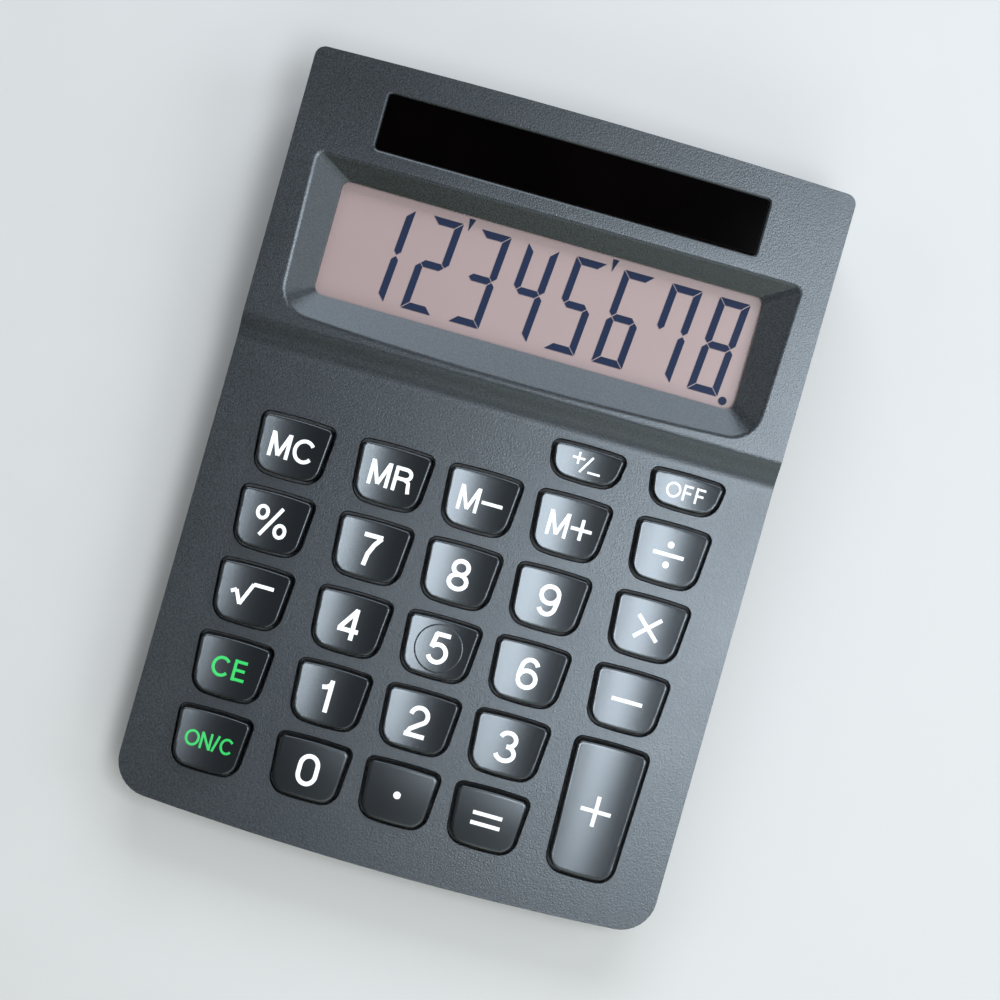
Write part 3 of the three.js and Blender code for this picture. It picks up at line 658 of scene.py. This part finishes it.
six = [arc(0.30, 0.30, 0.29, 0.30, 0, 360, 24),
       arc(0.31, 0.68, 0.27, 0.32, 25, 165) + [(0.01, 0.48), (0.01, 0.30)]]
SIGNS = {
    "0": [arc(0.29, 0.66, 0.29, 0.34, 180, 0) + arc(0.29, 0.34, 0.29, 0.34, 0, -180) + [(0, 0.66)]],
    "1": [[(0.0, 0.78), (0.15, 0.81), (0.25, 0.89), (0.29, 1.0)], [(0.29, 1.08), (0.29, -0.08)]],
    "2": [arc(0.29, 0.70, 0.28, 0.30, 175, -35) + [(0.10, 0.20), (0.02, 0.0)], [(-0.06, 0.0), (0.62, 0.0)]],
    "3": [arc(0.27, 0.75, 0.26, 0.25, 165, -90), arc(0.27, 0.26, 0.30, 0.26, 90, -165)],
    "4": [[(0.45, -0.08), (0.45, 1.04)], [(0.47, 1.02), (0.0, 0.27)], [(-0.05, 0.25), (0.64, 0.25)]],
    "5": [[(0.58, 1.0), (0.10, 1.0)], [(0.13, 1.03), (0.05, 0.50)],
          [(0.06, 0.52)] + arc(0.28, 0.32, 0.29, 0.32, 118, -158)],
    "6": six,
    "7": [[(-0.02, 1.0), (0.60, 1.0)], [(0.57, 0.98), (0.38, 0.70), (0.24, 0.35), (0.19, -0.08)]],
    "8": [arc(0.29, 0.755, 0.245, 0.245, 0, 360, 24), arc(0.29, 0.255, 0.29, 0.255, 0, 360, 24)],
    "9": [[(0.60 - x, 1 - y) for x, y in stroke] for stroke in six],
    "M": [[(0, -0.1), (0, 1.1)], [(0.72, -0.1), (0.72, 1.1)],
          [(0.02, 1.06), (0.36, 0.0)], [(0.70, 1.06), (0.36, 0.0)]],
    "C": [arc(0.40, 0.5, 0.40, 0.5, 38, 322, 24)],
    "R": [[(0, -0.1), (0, 1.08)],
          [(-0.03, 1), (0.38, 1)] + arc(0.38, 0.76, 0.23, 0.24, 88, -90) + [(0, 0.52)],
          [(0.38, 0.52), (0.57, 0.40), (0.60, 0.12), (0.64, -0.1)]],
    "E": [[(0, -0.1), (0, 1.1)], [(0, 1), (0.56, 1)], [(0, 0.52), (0.52, 0.52)], [(0, 0), (0.58, 0)]],
    "O": [arc(0.42, 0.5, 0.42, 0.5, 0, 360, 28)],
    "N": [[(0, -0.1), (0, 1.1)], [(0.62, -0.1), (0.62, 1.1)], [(0.01, 1.05), (0.61, -0.05)]],
    "F": [[(0, -0.1), (0, 1.1)], [(0, 1), (0.53, 1)], [(0, 0.5), (0.46, 0.5)]],
    "/": [[(0, -0.1), (0.30, 1.1)]],
    "%": [arc(0.14, 0.77, 0.15, 0.22, 0, 360, 18), arc(0.76, 0.23, 0.15, 0.22, 0, 360, 18),
          [(0.20, -0.06), (0.70, 1.06)]],
}
DIGIT_ADVANCE = 0.58
ADVANCE = {"M": 0.72, "C": 0.74, "R": 0.64, "E": 0.58, "O": 0.84, "N": 0.62, "F": 0.53, "/": 0.30,
           "%": 0.90}


def straight(x0, y0, x1, y1):
    return [(x0, y0), (x1, y1)]


def word(text, height, spacing, stretch=1.0):
    """The strokes of a word, its middle at the origin, in metres; stretch widens it."""
    strokes = []
    x = 0
    for letter in text:
        strokes += [[(x + px, py) for px, py in stroke] for stroke in SIGNS[letter]]
        x += ADVANCE.get(letter, DIGIT_ADVANCE) + spacing
    width = x - spacing
    return [[((px - width / 2) * height * stretch, (py - 0.5) * height) for px, py in stroke]
            for stroke in strokes]


def spread_out(stroke, gap):
    """The same stroke with extra points, so that it can bend with the surface under it."""
    points = [stroke[0]]
    for end in stroke[1:]:
        start = points[-1]
        pieces = max(1, math.ceil(math.dist(start, end) / gap))
        for i in range(1, pieces + 1):
            points.append(tuple(a + (b - a) * i / pieces for a, b in zip(start, end)))
    return points


print(len(SIGNS), "signs drawn")

# %% [markdown]
# ## From strokes to a film of ink
#
# Printed ink is a film too thin to feel. The strokes become a curve with a round bevel, which is made a
# mesh and pressed flat. Each point then takes the height of the cap under it, so the film follows the dish.

# %% A helper that prints strokes on a cap
INK_HEIGHT = 0.016 * MM
INK_LIFT = 0.014 * MM
STROKE_STEP = 0.6 * MM


def print_legend(key, strokes, weight, ink):
    """Lays strokes on a key's cap as a thin film of ink."""
    curve = bpy.data.curves.new("strokes", "CURVE")
    curve.dimensions = "3D"
    curve.bevel_depth = weight / 2
    curve.bevel_resolution = 2
    curve.use_fill_caps = True
    for stroke in strokes:
        points = spread_out(stroke, STROKE_STEP)
        spline = curve.splines.new("POLY")
        spline.points.add(len(points) - 1)
        for point, (px, py) in zip(spline.points, points):
            point.co = (px, py, 0, 1)
    holder = bpy.data.objects.new("strokes", curve)
    bm = bmesh.new()
    bm.from_mesh(holder.to_mesh())
    bpy.data.objects.remove(holder)
    x, y, _, _ = key_place(key)
    for vertex in bm.verts:
        px, py = vertex.co.x, vertex.co.y
        film = vertex.co.z / (weight / 2) * INK_HEIGHT + INK_LIFT
        level = KEY_HEIGHT - cap_drop(key, px, py) + (DISC_RISE if key == "key_5" else 0)
        vertex.co = (x + px, y + py, level + film)
    lay(bm, bm.verts, key_plane)
    return make_piece(key.replace("key_", "legend_"), bm, key, ink, sharp=80, soften=False)


print("ink stands", round((INK_HEIGHT + INK_LIFT) / MM, 3), "mm off a cap")

# %% [markdown]
# ## The legend of every key
#
# Digits share one height and one weight. Words are smaller, and the green ones and OFF are smaller still.
# The arithmetic signs are a few straight strokes and dots, so they are drawn in millimetres.

# %% Print the legends on the caps
DIGIT_HEIGHT = 4.4 * MM
DIGIT_WEIGHT = 0.70 * MM
WORD_HEIGHT = 3.3 * MM
WORD_WEIGHT = 0.58 * MM
SIGN_WEIGHT = 0.60 * MM
MEMORY_WEIGHT = WORD_WEIGHT * 0.93
BAR_HALF = 2.45 * MM
white = (legend_white, "legend_white")
green = (legend_green, "legend_green")


def dot(x, y, radius):
    """A filled dot: a ring of strokes small enough to close up."""
    return [arc(x, y, radius * share, radius * share, 0, 360, 20) for share in (0.15, 0.55)]


legends = {}
for digit in "0123456789":
    legends[f"key_{digit}"] = (word(digit, DIGIT_HEIGHT, 0, 1.08), DIGIT_WEIGHT, *white)
legends["key_mc"] = (word("MC", WORD_HEIGHT, 0.28, 1.13), WORD_WEIGHT, *white)
legends["key_mr"] = (word("MR", WORD_HEIGHT, 0.30, 1.15), WORD_WEIGHT, *white)
legends["key_ce"] = (word("CE", 2.8 * MM, 0.32, 1.14), 0.48 * MM, *green)
legends["key_on_c"] = (word("ON/C", 2.2 * MM, 0.22, 1.05), 0.38 * MM, *green)
legends["key_off"] = (word("OFF", 2.1 * MM, 0.28, 1.16), 0.34 * MM, *white)
legends["key_percent"] = (word("%", 4.3 * MM, 0, 1.24), 0.56 * MM, *white)
half_m = [[(px - 1.8 * MM, py) for px, py in stroke] for stroke in word("M", WORD_HEIGHT, 0, 1.15)]
bar = [straight(0.25 * MM, 0, 3.6 * MM, 0)]
upright = [straight(1.95 * MM, -1.65 * MM, 1.95 * MM, 1.65 * MM)]
legends["key_m_minus"] = (half_m + bar, MEMORY_WEIGHT, *white)
legends["key_m_plus"] = (half_m + bar + upright, MEMORY_WEIGHT, *white)
divide_dots = dot(0, 1.6 * MM, 0.42 * MM) + dot(0, -1.6 * MM, 0.42 * MM)
legends["key_divide"] = ([straight(-BAR_HALF, 0, BAR_HALF, 0)] + divide_dots, SIGN_WEIGHT, *white)
legends["key_multiply"] = ([straight(-1.85 * MM, -1.75 * MM, 1.85 * MM, 1.75 * MM),
                            straight(-1.85 * MM, 1.75 * MM, 1.85 * MM, -1.75 * MM)], SIGN_WEIGHT, *white)
legends["key_minus"] = ([straight(-BAR_HALF, 0, BAR_HALF, 0)], SIGN_WEIGHT, *white)
twin_bars = [straight(-2.35 * MM, side * 0.8 * MM, 2.35 * MM, side * 0.8 * MM) for side in (-1, 1)]
legends["key_equals"] = (twin_bars, SIGN_WEIGHT, *white)
cross = [straight(-2.4 * MM, 0, 2.4 * MM, 0), straight(0, -2.4 * MM, 0, 2.4 * MM)]
legends["key_plus"] = (cross, SIGN_WEIGHT, *white)
legends["key_point"] = (dot(0, 0, 0.62 * MM), 0.5 * MM, *white)
root = [(-3.1, -0.1), (-2.3, 0.35), (-1.35, -1.75), (0.1, 1.75), (3.3, 1.75)]
root_strokes = [[(x * MM, y * MM) for x, y in pair] for pair in zip(root, root[1:])]
legends["key_root"] = (root_strokes, 0.58 * MM, *white)
change = [straight(-2.45, 0.75, -0.45, 0.75), straight(-1.45, -0.2, -1.45, 1.7),
          straight(-0.85, -1.35, 0.75, 1.35), straight(0.4, -1.1, 2.4, -1.1)]
change_strokes = [[(x * MM, y * MM) for x, y in stroke] for stroke in change]
legends["key_sign_change"] = (change_strokes, 0.34 * MM, *white)
for key, (strokes, weight, ink, slot) in legends.items():
    print_legend(key, strokes, weight, ink)
print("legends printed:", len(legends))

# %% [markdown]
# ## The display
#
# A reflective liquid crystal panel is a warm grey mirror-like sheet with dark segments floating a little
# above it, so each segment throws a faint shadow. The panel lies under a clear window at the bottom of the
# recess. All eight digits are built from one set of seven segments, which lean to the right, so that a
# change to one segment reaches every digit.

# %% Lay out the seven segments
SEGMENT_WIDTH = 4.95 * MM
SEGMENT_HEIGHT = 15.2 * MM
SEGMENT_THICK = 1.12 * MM
SEGMENT_GAP = 0.11 * MM
SEGMENT_LEAN = 1.2 / 15.2
DIGIT_PITCH = 7.77 * MM
FIRST_DIGIT_X = -28.15 * MM
DIGIT_BASE_Y = 7.0 * MM
MARKED_PLACES = (1, 4)
MARK_X = 2.35 * MM
MARK_HALF = 0.5 * MM
MARK_TOP = 23.3 * MM
MARK_TIP = 21.3 * MM
POINT_X = 5.95 * MM
POINT_Y = 6.6 * MM
POINT_RADIUS = 0.66 * MM
LIT = {"1": "bc", "2": "abged", "3": "abgcd", "4": "fgbc", "5": "afgcd", "6": "afgedc", "7": "abcf",
       "8": "abcdefg"}


def segment_outlines():
    """Corners of the seven segments; the lower and left ones are mirror images of the others."""
    w, h, t, g = SEGMENT_WIDTH, SEGMENT_HEIGHT, SEGMENT_THICK, SEGMENT_GAP
    top = [(g, h), (w - g, h), (w - t - g, h - t), (t + g, h - t)]
    right = [(w, h - g), (w - t, h - t - g), (w - t, h / 2 + t / 2 + g),
             (w - t / 2, h / 2 + g), (w, h / 2 + t / 2 + g)]
    middle = [(t / 2 + g, h / 2), (t + g, h / 2 + t / 2), (w - t - g, h / 2 + t / 2),
              (w - t / 2 - g, h / 2), (w - t - g, h / 2 - t / 2), (t + g, h / 2 - t / 2)]

    def below(points):
        return [(x, h - y) for x, y in points]

    def leftwards(points):
        return [(w - x, y) for x, y in points]

    return {"a": top, "b": right, "c": below(right), "d": below(top), "e": leftwards(below(right)),
            "f": leftwards(right), "g": middle}


def digit_shapes():
    """Every lit shape on the panel, as outlines on the display plane."""
    outlines = segment_outlines()
    shapes = []
    for place, digit in enumerate("12345678"):
        x0 = FIRST_DIGIT_X + DIGIT_PITCH * place
        for segment in LIT[digit]:
            shapes.append([(x0 + x + y * SEGMENT_LEAN, DIGIT_BASE_Y + y) for x, y in outlines[segment]])
    for place in MARKED_PLACES:
        x0 = FIRST_DIGIT_X + DIGIT_PITCH * place + SEGMENT_WIDTH + MARK_X
        tip = (x0 - MARK_HALF / 2, MARK_TIP)
        shapes.append([(x0 - MARK_HALF, MARK_TOP), (x0 + MARK_HALF, MARK_TOP), tip])
    point_x = FIRST_DIGIT_X + 7 * DIGIT_PITCH + POINT_X
    shapes.append(arc(point_x, POINT_Y, POINT_RADIUS, POINT_RADIUS, 0, 345, 23))
    return shapes


print(len(digit_shapes()), "lit shapes")

# %% [markdown]
# ## The panel and its films
#
# The segments and their shadows are thin films just above the panel. The shadows are a slightly darker grey
# than the panel and lie lower, a little to the left and to the front. As films of their own they stay sharp
# and cost few faces. The panel is a plate with a rounded rim.

# %% Build the digits, their shadows and the panel
DIGIT_FILM = (0.05 * MM, 0.07 * MM)
SHADOW_FILM = (0.005 * MM, 0.01 * MM)
SHADOW_SHIFT = (-0.10 * MM, -0.10 * MM)
panel_top = box_on(display_plane, "lcd_panel")[1].z
lcd_grey = finish("warm grey polariser", (0.308, 0.219, 0.212), 0.45, grain_size=0.25 * MM,
                  grain_height=0.002 * MM, variation=0.035, patch_size=30 * MM)
lcd_ink = finish("dark liquid crystal", (0.003, 0.012, 0.045), 0.6, grain_size=0.2 * MM,
                 grain_height=0.001 * MM, specular=0.05)
lcd_shadow = finish("segment shadow", (0.20, 0.142, 0.138), 0.5, grain_size=0.25 * MM,
                    grain_height=0.002 * MM)


def prism(bm, points, bottom, top):
    face = bm.faces.new([bm.verts.new((x, y, bottom)) for x, y in points])
    raise_faces(bm, [face], top - bottom)


def display_film(name, shift, film, ink):
    """All the lit shapes as one film, between two heights above the panel."""
    bottom, top = panel_top + film[0], panel_top + film[1]
    bm = bmesh.new()
    for outline in digit_shapes():
        prism(bm, [(x + shift[0], y + shift[1]) for x, y in outline], bottom, top)
    lay(bm, bm.verts, display_plane)
    return make_piece(name, bm, "case", ink, soften=False)


def flat_pane(name, node, corner, rim, rim_steps, material):
    """A thin plate of a node's own size, with rounded corners and a rounded upper rim."""
    low, high = box_on(display_plane, node)
    bm = bmesh.new()
    plate(bm, high.y, low.y, high.x, high.x, corner, corner)
    bmesh.ops.translate(bm, verts=list(bm.verts), vec=(0, 0, low.z))
    upper = raise_faces(bm, bm.faces, high.z - low.z)
    round_rim(bm, edges_between(bm, upper), rim, rim_steps)
    lay(bm, bm.verts, display_plane)
    return make_piece(name, bm, "case", material, [node])


display_film("display_digits", (0, 0), DIGIT_FILM, lcd_ink)
display_film("display_digit_shadows", SHADOW_SHIFT, SHADOW_FILM, lcd_shadow)
panel = flat_pane("display_panel", "lcd_panel", 0.4 * MM, 0.15 * MM, 2, lcd_grey)
print("panel:", len(panel.data.polygons), "faces")

# %% [markdown]
# ## Windows
#
# Both windows are thin acrylic plates with a slightly rounded rim. The display's is clear, so it is mostly
# see-through and only dulls the panel a little. The solar window is smoked so dark, with a warm tint, that
# it is made opaque here, and the solar cell behind it doesn't show.

# %% Make the clear and the smoked window
WINDOW_RIM = 0.2 * MM
clear_acrylic = finish("clear acrylic", (0.10, 0.10, 0.11), 0.10, grain_size=4 * MM,
                       grain_height=0.002 * MM, variation=0.01, specular=0.06)
clear_acrylic.node_tree.nodes["Principled BSDF"].inputs["Alpha"].default_value = 0.06
smoked_acrylic = finish("smoked acrylic", (0.0009, 0.0006, 0.0007), 0.10, grain_size=5 * MM,
                        grain_height=0.002 * MM, variation=0.3, roughness_spread=0.02, specular=0.018)
flat_pane("display_window_plate", "display_window", 0.8 * MM, WINDOW_RIM, 3, clear_acrylic)
flat_pane("solar_window_plate", "solar_window", 0.5 * MM, WINDOW_RIM, 3, smoked_acrylic)
print("window slope in degrees:", round(math.degrees(DISPLAY_SLOPE), 2))

# %% [markdown]
# ## The pieces that keep their engineering shape
#
# Inside lie the rubber key mat, the circuit board and its parts, a button cell between spring contacts, and
# the solar cell. They hardly show while the case is closed, so their shapes stay as they are, and each gets
# the finish of its own material.

# %% Finish the remaining pieces
rubber_black = finish("matt black rubber", (0.012, 0.012, 0.013), 0.75, grain_size=0.25 * MM,
                      grain_height=0.02 * MM)
steel = finish("zinc-plated steel", (0.60, 0.60, 0.62), 0.30, grain_size=0.4 * MM, grain_height=0.006 * MM,
               metallic=1.0)
bronze = finish("spring bronze", (0.62, 0.42, 0.20), 0.34, grain_size=0.4 * MM, grain_height=0.004 * MM,
                metallic=1.0)
board_green = finish("green solder mask", (0.012, 0.11, 0.035), 0.35, grain_size=0.6 * MM,
                     grain_height=0.01 * MM, variation=0.2, patch_size=5 * MM)
epoxy = finish("black epoxy drop", (0.010, 0.010, 0.010), 0.28, grain_size=1.5 * MM, grain_height=0.03 * MM)
mat_grey = finish("translucent grey silicone", (0.26, 0.27, 0.28), 0.55, grain_size=0.4 * MM,
                  grain_height=0.01 * MM)
holder_white = finish("white polystyrene", (0.70, 0.70, 0.68), 0.45, grain_size=0.5 * MM,
                      grain_height=0.01 * MM)
pink_silicone = finish("pink silicone strip", (0.55, 0.28, 0.30), 0.55, grain_size=0.3 * MM,
                       grain_height=0.01 * MM)
capacitor_blue = finish("blue sleeve", (0.02, 0.06, 0.30), 0.30, grain_size=0.8 * MM,
                        grain_height=0.006 * MM)
cell_brown = finish("amorphous silicon", (0.045, 0.014, 0.010), 0.15, grain_size=2 * MM,
                    grain_height=0.002 * MM, variation=0.25, patch_size=6 * MM)
wire_red = finish("red wire", (0.50, 0.012, 0.010), 0.40, grain_size=0.5 * MM, grain_height=0.005 * MM)
wire_black = finish("black wire", (0.010, 0.010, 0.011), 0.40, grain_size=0.5 * MM,
                    grain_height=0.005 * MM)
carried_over = {
    steel: ["battery_cell"] + [f"board_screw_{i}" for i in (1, 2, 3, 4)],
    bronze: ["battery_contact_plus", "battery_contact_minus"],
    board_green: ["circuit_board"],
    epoxy: ["chip_blob"],
    mat_grey: ["key_mat"],
    holder_white: ["lcd_holder"],
    pink_silicone: ["zebra_strip"],
    capacitor_blue: ["capacitor"],
    cell_brown: ["solar_cell"],
    wire_red: ["battery_wire_red", "solar_wire_red"],
    wire_black: ["battery_wire_black", "solar_wire_black"],
}
for material, names in carried_over.items():
    for name in names:
        mesh = frame["nodes"][name].data
        mesh.materials.clear()
        mesh.materials.append(material)
print("finished in place:", sum(len(names) for names in carried_over.values()))

# %% [markdown]
# ## The underside
#
# Below there is a moulded base with a little battery door, four rubber feet and four screws, and their
# edges catch the light. The engineering model's pieces are copied, the copies' loose triangles are merged
# into whole faces, and the lowest edges are rounded a little.

# %% Round the edges of the base, its door, feet and screws
LOOSE_WITHIN = 0.002 * MM
FLAT_ANGLE = math.radians(1)
CRISP_ANGLE = math.radians(50)


def softened_copy(node, name, body, material, radius, reach):
    """A copy of a CAD piece whose lowest edges, up to the height reach, are rounded."""
    bm = bmesh.new()
    bm.from_mesh(frame["nodes"][node].data)
    bmesh.ops.remove_doubles(bm, verts=bm.verts, dist=LOOSE_WITHIN)
    bmesh.ops.dissolve_limit(bm, angle_limit=FLAT_ANGLE, verts=bm.verts, edges=bm.edges)
    low = min(vertex.co.z for vertex in bm.verts) + reach
    crisp = [edge for edge in bm.edges if edge.calc_face_angle(0) > CRISP_ANGLE]
    shown = [edge for edge in crisp if all(vertex.co.z < low for vertex in edge.verts)]
    round_rim(bm, shown, radius, 3)
    print(name, len(shown), "edges rounded,", sum(len(e.link_faces) != 2 for e in bm.edges), "open")
    return make_piece(name, bm, body, material, [node])


softened_copy("bottom_case", "bottom_case_shell", "case", graphite, 0.25 * MM, 0.1 * MM)
softened_copy("battery_door", "battery_door_shell", "battery_door", graphite,
              0.15 * MM, 0.05 * MM)
for place in ("rear_left", "rear_right", "front_left", "front_right"):
    softened_copy(f"foot_{place}", f"foot_pad_{place}", "case", rubber_black,
                  0.5 * MM, 0.1 * MM)
for i in (1, 2, 3, 4):
    softened_copy(f"case_screw_{i}", f"case_screw_head_{i}", "case", steel, 0.12 * MM, 0.05 * MM)

# %% [markdown]
# ## The camera
#
# The calculator is looked at square to its key field, turned a little clockwise. A long lens at arm's
# length keeps its sides nearly parallel. The camera's place is worked out from the key plane, so it stays
# square to the keys whatever their slope is.

# %% Set up the camera
VIEW_DISTANCE = 430 * MM
VIEW_WIDTH = 156 * MM
TURN = math.radians(15.8)
AIM = (2.9 * MM, 0.07 * MM)

camera_data = bpy.data.cameras.new("camera")
camera_data.sensor_width = 36
camera_data.lens = camera_data.sensor_width * VIEW_DISTANCE / VIEW_WIDTH
camera = bpy.data.objects.new("camera", camera_data)
bpy.context.scene.collection.objects.link(camera)
aim = Vector((AIM[0], AIM[1], top_height(AIM[1])))
camera_place = Matrix.Translation(aim) @ key_plane.to_3x3().to_4x4() @ Matrix.Rotation(TURN, 4, "Z")
camera.matrix_world = camera_place @ Matrix.Translation((0, 0, VIEW_DISTANCE))
camera_data.clip_start = 0.01
bpy.context.scene.camera = camera
print("lens in mm:", round(camera_data.lens, 1))

# %% [markdown]
# ## Floor and lights
#
# Satin black keys show mostly what they mirror, so the lights are placed by their reflections. A softbox
# overhead, to the right of the camera, gives the key tops their bright bands. Windows behind, in front and
# at the right light the case, and a weak bounce comes from the left. A low, faint yellow-green wall in
# front tints the rear wall of the recess a little.

# %% Lay the floor and hang the lights
FLOOR_HALF = 1.5

floor_mesh = bmesh.new()
bmesh.ops.create_grid(floor_mesh, x_segments=1, y_segments=1, size=FLOOR_HALF)
floor_data = bpy.data.meshes.new("floor")
floor_mesh.to_mesh(floor_data)
floor_mesh.free()
floor = bpy.data.objects.new("floor", floor_data)
bpy.context.scene.collection.objects.link(floor)
pale_floor = finish("pale floor", (0.46, 0.46, 0.455), 0.6, grain_size=2 * MM, grain_height=0.01 * MM,
                    variation=0.01)
floor_data.materials.append(pale_floor)


def area_light(name, place, size, power, color):
    """A rectangular light, in metres and watts, that faces the point the camera looks at."""
    data = bpy.data.lights.new(name, "AREA")
    data.shape = "RECTANGLE"
    data.size, data.size_y = size
    data.energy = power
    data.color = color
    light = bpy.data.objects.new(name, data)
    bpy.context.scene.collection.objects.link(light)
    facing = (Vector(place) - aim).to_track_quat("Z", "Y").to_matrix().to_4x4()
    light.matrix_world = Matrix.Translation(place) @ facing
    return light


def beside_key_plane(x, y, z):
    """A place given in millimetres along, up and off the key plane, from the point the camera looks at."""
    return Matrix.Translation(aim) @ key_plane.to_3x3().to_4x4() @ Vector((x * MM, y * MM, z * MM))


area_light("overhead softbox", beside_key_plane(114, -1, 560), (0.22, 0.125), 2.16, (0.90, 0.95, 1.0))
area_light("right window", (0.40, 0.05, 0.40), (0.32, 0.32), 1.1, (0.90, 0.95, 1.0))
area_light("back window", (0.0, 0.42, 0.40), (0.50, 0.32), 2.9, (0.88, 0.94, 1.0))
area_light("front wall", (0.0, -0.50, 0.20), (0.60, 0.14), 0.12, (0.86, 0.85, 0.22))
area_light("front window", (0.17, -0.35, 0.37), (0.42, 0.32), 1.15, (0.90, 0.95, 0.90))
area_light("left bounce", (-0.42, -0.05, 0.40), (0.36, 0.36), 0.36, (1.0, 0.98, 0.96))
world = bpy.data.worlds.new("studio")
world.use_nodes = True
world.node_tree.nodes["Background"].inputs["Color"].default_value = (0.85, 0.90, 0.96, 1)
world.node_tree.nodes["Background"].inputs["Strength"].default_value = 0.12
bpy.context.scene.world = world
bpy.context.scene.view_settings.view_transform = "Standard"
print("lights:", len(bpy.data.lights))
